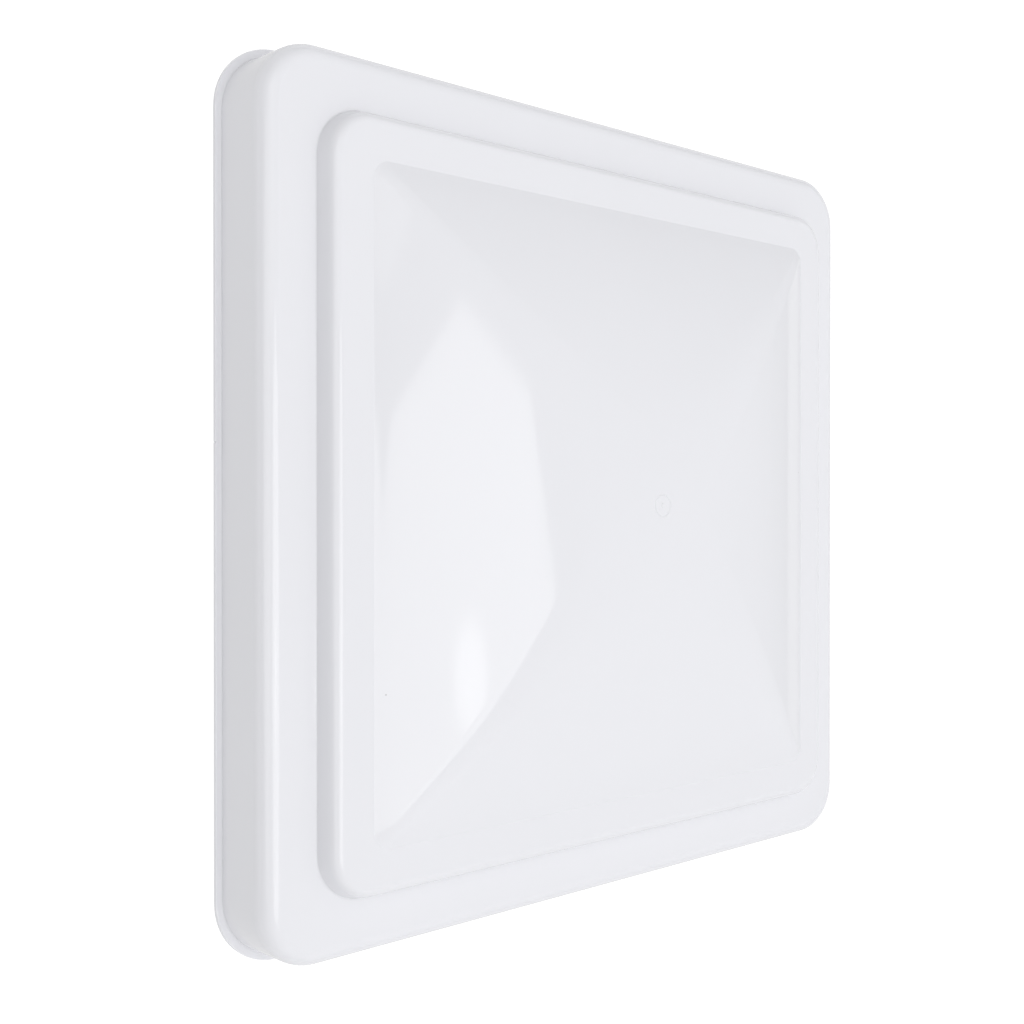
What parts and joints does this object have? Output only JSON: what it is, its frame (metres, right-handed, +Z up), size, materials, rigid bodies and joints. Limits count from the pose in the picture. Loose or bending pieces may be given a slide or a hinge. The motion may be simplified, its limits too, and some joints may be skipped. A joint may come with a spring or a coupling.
{
  "type": "roof vent cover",
  "caption": "Hinged square roof vent lid with a raised pillow crown, foam seal, piano hinge and a lift-arm track with slider.",
  "frame": {"origin": "middle of the hinge's fixing screws, on the face that lies against the vent's curb", "axes": "+Z up out of the roof, +Y backwards from the lid's free edge to its hinge, +X to the right along the hinge; the lid is closed at rest"},
  "size_m": [0.4, 0.4035, 0.102],
  "materials": {
    "lid_plastic": "injection-moulded white polypropylene, satin gloss, faint flow marks",
    "seal_foam": "closed-cell foam strip, fine open skin",
    "hinge_aluminium": "mill-finish sheet with rolling lines",
    "pin_steel": "drawn steel wire",
    "cap_nylon": "moulded black nylon, fine grain",
    "rivet_aluminium": "satin aluminium with small set marks",
    "washer_steel": "zinc-plated steel",
    "galvanised_steel": "galvanised sheet with soft spangle",
    "screw_steel": "zinc-plated steel",
    "slider_nylon": "natural nylon, slightly waxy",
    "bush_brass": "turned brass"
  },
  "bodies": {
    "hinge_frame": {"frame_hinge_leaf": "hinge_aluminium", "hinge_pin": "pin_steel", "hinge_cap_left": "cap_nylon", "hinge_cap_right": "cap_nylon"},
    "cover": {"cover_shell": "lid_plastic", "seal_front": "seal_foam", "seal_rear": "seal_foam", "seal_left": "seal_foam", "seal_right": "seal_foam", "cover_hinge_leaf": "hinge_aluminium", "hinge_rivets": "rivet_aluminium", "rivet_washers": "washer_steel", "lift_track": "galvanised_steel", "track_stop_front": "cap_nylon", "track_stop_rear": "cap_nylon", "track_washers": "washer_steel", "track_screws": "screw_steel"},
    "slider": {"slider_shoe": "slider_nylon", "arm_bush": "bush_brass"}
  },
  "joints": [
    {"name": "cover_hinge", "type": "hinge", "parent": "hinge_frame", "child": "cover", "pos_m": [0, 0.00276, 0.015], "axis": [-1, 0, 0], "range_deg": [0, 85]},
    {"name": "slider_travel", "type": "slide", "parent": "cover", "child": "slider", "axis": [0, 1, 0], "range_m": [-0.1116, 0.1116]}
  ]
}
